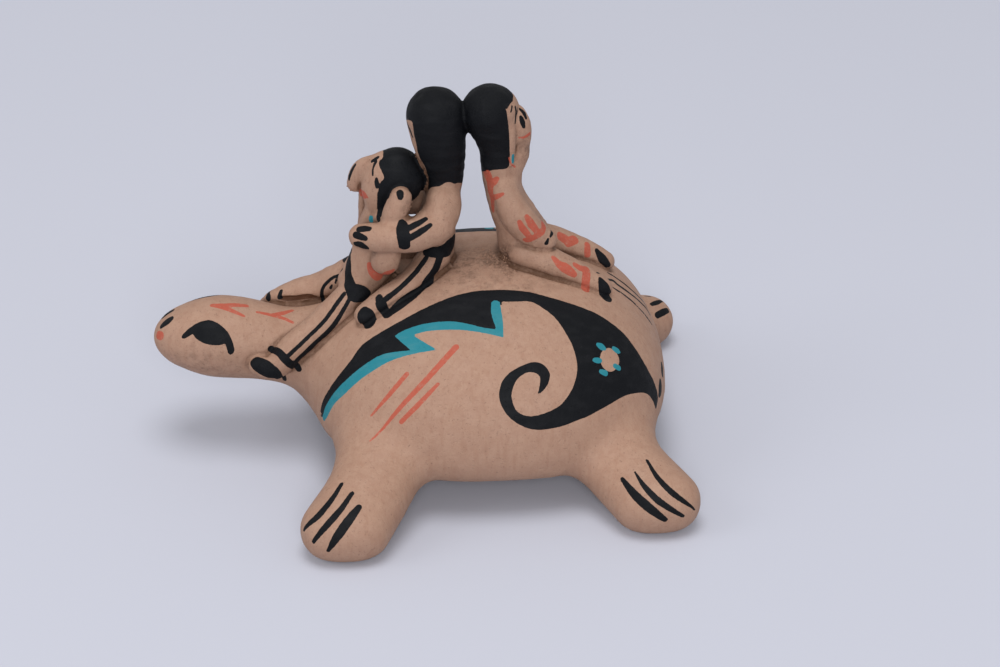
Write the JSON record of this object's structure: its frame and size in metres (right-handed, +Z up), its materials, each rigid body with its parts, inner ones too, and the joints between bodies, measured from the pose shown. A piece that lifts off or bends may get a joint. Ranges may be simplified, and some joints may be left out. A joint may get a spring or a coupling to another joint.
{
  "type": "storyteller figure",
  "caption": "Hand-modelled buff clay turtle that stands on flat-soled feet, with children riding on its back, painted in matte black, turquoise and red.",
  "frame": {"origin": "middle of the footprint's bounding box, on the floor under the feet", "axes": "+X from the turtle's nose towards its hind end, +Y towards its right flank, +Z up"},
  "size_m": [0.148, 0.129, 0.1061],
  "materials": {
    "painted_clay": "matt low-fired clay slip with matt painted ornament"
  },
  "bodies": {
    "root": {"turtle_storyteller": "painted_clay"}
  },
  "joints": []
}
